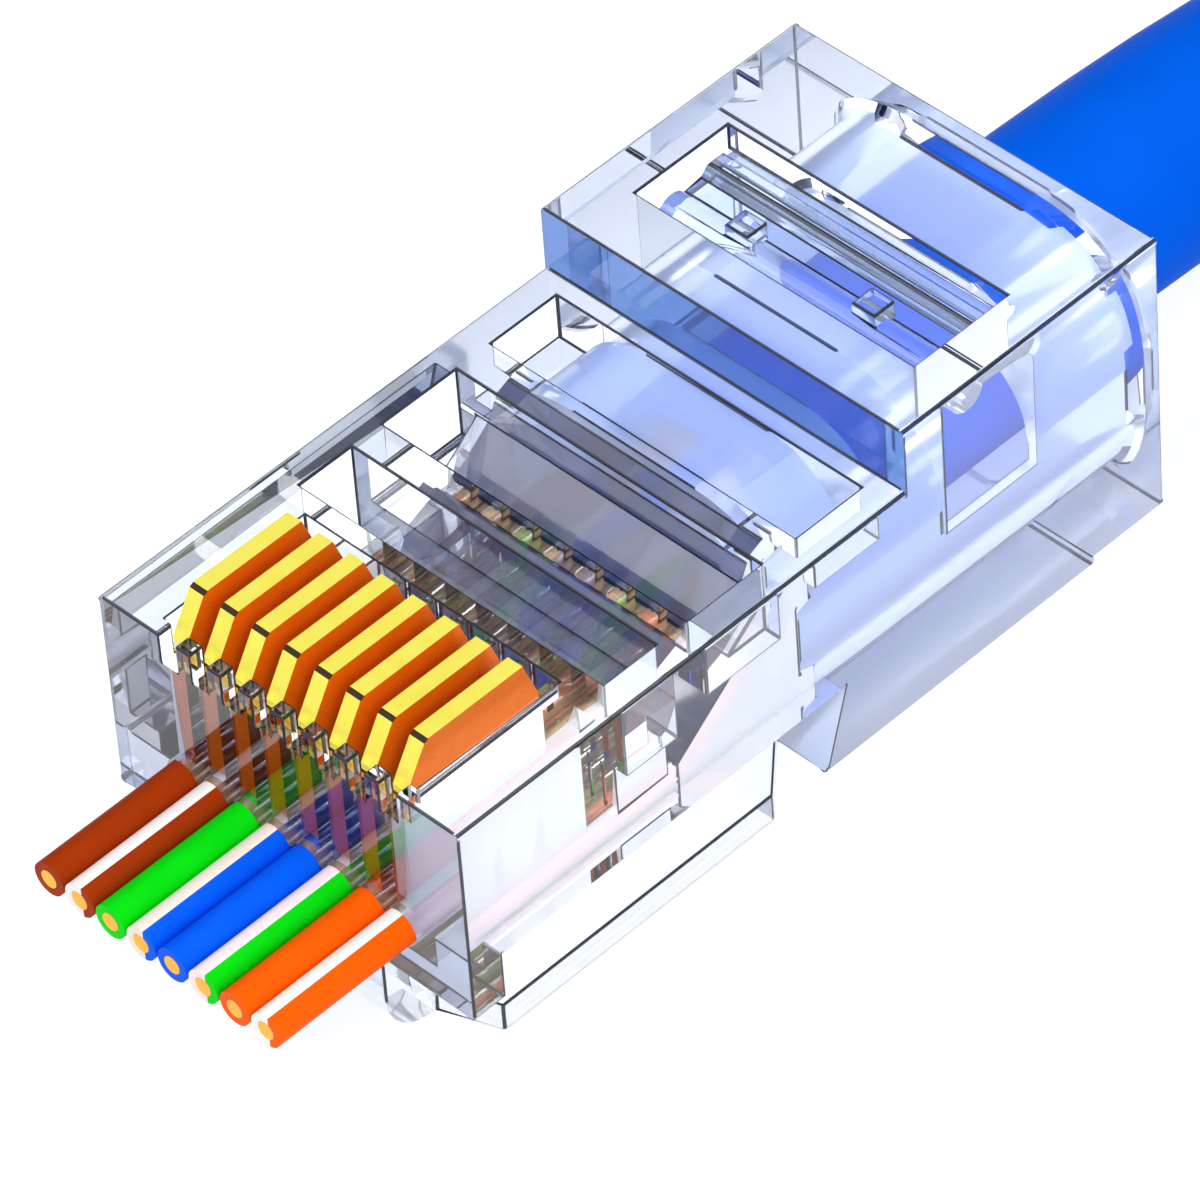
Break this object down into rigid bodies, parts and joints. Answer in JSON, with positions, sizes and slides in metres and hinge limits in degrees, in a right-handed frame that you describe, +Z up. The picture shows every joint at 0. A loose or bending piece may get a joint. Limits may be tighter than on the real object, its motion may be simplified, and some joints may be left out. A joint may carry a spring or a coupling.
{
  "type": "modular data plug",
  "caption": "Clear pass-through modular data plug with gold contacts, coloured wires out of its nose, a spring latch, a strain relief clamp and a blue cable",
  "frame": {"origin": "under the middle of the plug, wires included, on the surface that its latch stands on", "axes": "+X to the side of the first contact, +Y from the nose towards the cable, +Z up, out of the contacts' side"},
  "size_m": [0.0699, 0.098, 0.013],
  "materials": {
    "clear_housing": "clear moulded polycarbonate",
    "cable_jacket": "satin blue jacket",
    "gold_contact": "gold plated",
    "copper": "bare copper",
    "wire_white_orange": "insulation",
    "wire_orange": "insulation",
    "wire_white_green": "insulation",
    "wire_blue": "insulation",
    "wire_white_blue": "insulation",
    "wire_green": "insulation",
    "wire_white_brown": "insulation",
    "wire_brown": "insulation"
  },
  "bodies": {
    "plug": {"housing": "clear_housing", "jacket_end": "cable_jacket", "cable": "cable_jacket", "cable_coil": "cable_jacket", "contact_1": "gold_contact", "contact_2": "gold_contact", "contact_3": "gold_contact", "contact_4": "gold_contact", "contact_5": "gold_contact", "contact_6": "gold_contact", "contact_7": "gold_contact", "contact_8": "gold_contact", "wire_1": "wire_white_orange", "wire_2": "wire_orange", "wire_3": "wire_white_green", "wire_4": "wire_blue", "wire_5": "wire_white_blue", "wire_6": "wire_green", "wire_7": "wire_white_brown", "wire_8": "wire_brown", "conductor_1": "copper", "conductor_2": "copper", "conductor_3": "copper", "conductor_4": "copper", "conductor_5": "copper", "conductor_6": "copper", "conductor_7": "copper", "conductor_8": "copper"},
    "latch": {"latch": "clear_housing"},
    "clamp": {"clamp_bar": "clear_housing"}
  },
  "joints": [
    {"name": "latch_flex", "type": "hinge", "parent": "plug", "child": "latch", "pos_m": [0, -0.00779, 0.00535], "axis": [1, 0, 0], "range_deg": [0, 9], "stiffness_Nm_per_rad": 0.3},
    {"name": "clamp_press", "type": "hinge", "parent": "plug", "child": "clamp", "pos_m": [0, 0.00993, 0.01195], "axis": [1, 0, 0], "range_deg": [0, 9], "stiffness_Nm_per_rad": 0.1}
  ]
}
